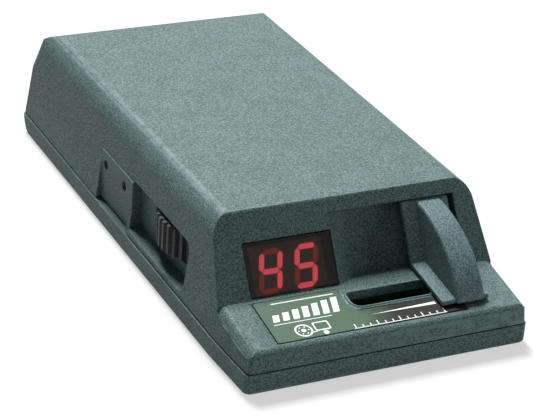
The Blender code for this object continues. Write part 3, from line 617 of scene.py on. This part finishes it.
def make_camera():
    """The photograph's view: from the front left and above, a little rolled."""
    target, distance = place(-5.4, 63.9, 15.0), 0.5527
    azimuth, elevation, roll = math.radians(26.64), math.radians(26.69), math.radians(-3.886)
    flat = math.cos(elevation)
    away = Vector((-math.sin(azimuth) * flat, -math.cos(azimuth) * flat, math.sin(elevation)))
    data = bpy.data.cameras.new("photo_camera")
    data.lens = 137.76
    data.sensor_width = 36.0
    data.clip_start = 0.01
    camera = bpy.data.objects.new("photo_camera", data)
    aim = (-away).to_track_quat("-Z", "Y").to_matrix().to_4x4()
    camera.matrix_world = Matrix.Translation(target + away * distance) @ aim @ Matrix.Rotation(-roll, 4, "Z")
    bpy.context.scene.collection.objects.link(camera)
    bpy.context.scene.camera = camera


# ---------------------------------------------------------------- everything together

def finish_nodes(shell, steel):
    """Gives every CAD node but the spring its material and rounded edges."""
    nylon = plain("nylon_finish", (0.72, 0.71, 0.67), 0.45, grain_mm=0.6, spread=0.05)
    epoxy = plain("black_epoxy_finish", (0.022, 0.022, 0.024), 0.42, grain_mm=0.25, depth=0.012, spread=0.3)
    case = plain("pot_case_finish", (0.05, 0.12, 0.16), 0.45)
    laminate = plain("board_laminate_finish", (0.03, 0.16, 0.07), 0.4, grain_mm=1.2, depth=0.02, spread=0.35)
    sleeve = plain("capacitor_finish", (0.02, 0.03, 0.09), 0.3)
    brass = metal("brass_finish", (0.78, 0.70, 0.50), 0.28, 0.4, 0.1, (1.0, 0.15, 1.0))
    sink = metal("sink_finish", (0.72, 0.73, 0.74), 0.4, 0.6, 0.08, (1.0, 1.0, 0.15), depth=0.01)
    relay = plain("relay_finish", (0.03, 0.10, 0.30), 0.38)
    ribbon = plain("ribbon_finish", (0.55, 0.56, 0.56), 0.5)
    wheel = spark_plastic("wheel_finish", (0.018, 0.019, 0.02), (0.05, 0.052, 0.055), 0.4, 0.02, 0.3)
    lever = spark_plastic("lever_finish", (0.030, 0.054, 0.056), (0.098, 0.140, 0.144), 0.46, 0.03)
    module = plain("module_finish", (0.36, 0.32, 0.25), 0.5, grain_mm=0.5, spread=0.2)
    film = label_film("film")
    acrylic = smoked_glass("smoked_acrylic")
    finishes = {
        "upper_housing": (shell, 0.2), "bottom_tray": (shell, 0.15), "label_plate": (film, 0.05),
        "display_lens": (acrylic, 0.15), "digit_display": (module, 0.15),
        "display_board": (laminate, 0.05), "display_ribbon": (ribbon, 0.05), "manual_lever": (lever, 0.22),
        "lever_carriage": (nylon, 0.2), "pot_slider": (nylon, 0.15), "slide_frame": (steel, 0.12),
        "guide_rail": (steel, 0.2), "slide_pot": (case, 0.15), "gain_wheel": (wheel, 0.12),
        "gain_shaft": (nylon, 0.2), "gain_pot": (case, 0.2), "main_board": (laminate, 0.05),
        "microcontroller": (epoxy, 0.15), "clock_crystal": (steel, 0.5), "stoplight_relay": (relay, 0.3),
        "current_shunt": (steel, 0.15), "flyback_diode": (epoxy, 0.2), "heat_sink": (sink, 0.08),
        "connector_shell": (epoxy, 0.2),
    }
    groups = {
        "smoothing_capacitor": (2, sleeve, 0.5), "output_transistor": (2, epoxy, 0.08),
        "transistor_screw": (2, steel, 0.15), "blade_terminal": (4, brass, 0.08),
        "housing_screw": (4, steel, 0.1), "board_screw": (3, steel, 0.12),
    }
    for name, (count, mat, edge) in groups.items():
        for i in range(count):
            finishes["%s_%d" % (name, i + 1)] = (mat, edge)
    for name, (mat, edge) in finishes.items():
        softened(name, mat, edge)


make_camera()
make_floor()
make_lights()
bpy.context.scene.view_settings.view_transform = "Standard"

SHELL = spark_plastic("shell_spark_plastic", (0.018, 0.038, 0.036), (0.074, 0.114, 0.111))
STEEL = metal("zinc_steel_finish", (0.62, 0.63, 0.64), 0.34, 0.5, 0.08, (0.2, 1.0, 1.0))
finish_nodes(SHELL, STEEL)
make_digits(
    glowing("bar_glow", (1.0, 0.10, 0.17), 1.5),
    # The unlit bars get a faint painted glow, standing in for room light on their red diffusers.
    glowing("bar_dim_painted_glow", (1.0, 0.12, 0.12), 0.26),
)
make_label_print(plain("print_ink", (0.40, 0.42, 0.41), 0.55, grain_mm=0.4, depth=0.004, spread=0.12))
make_slot_bead(spark_plastic("rim_spark_plastic", (0.03, 0.06, 0.058), (0.09, 0.135, 0.13), 0.42))
make_spring(STEEL)
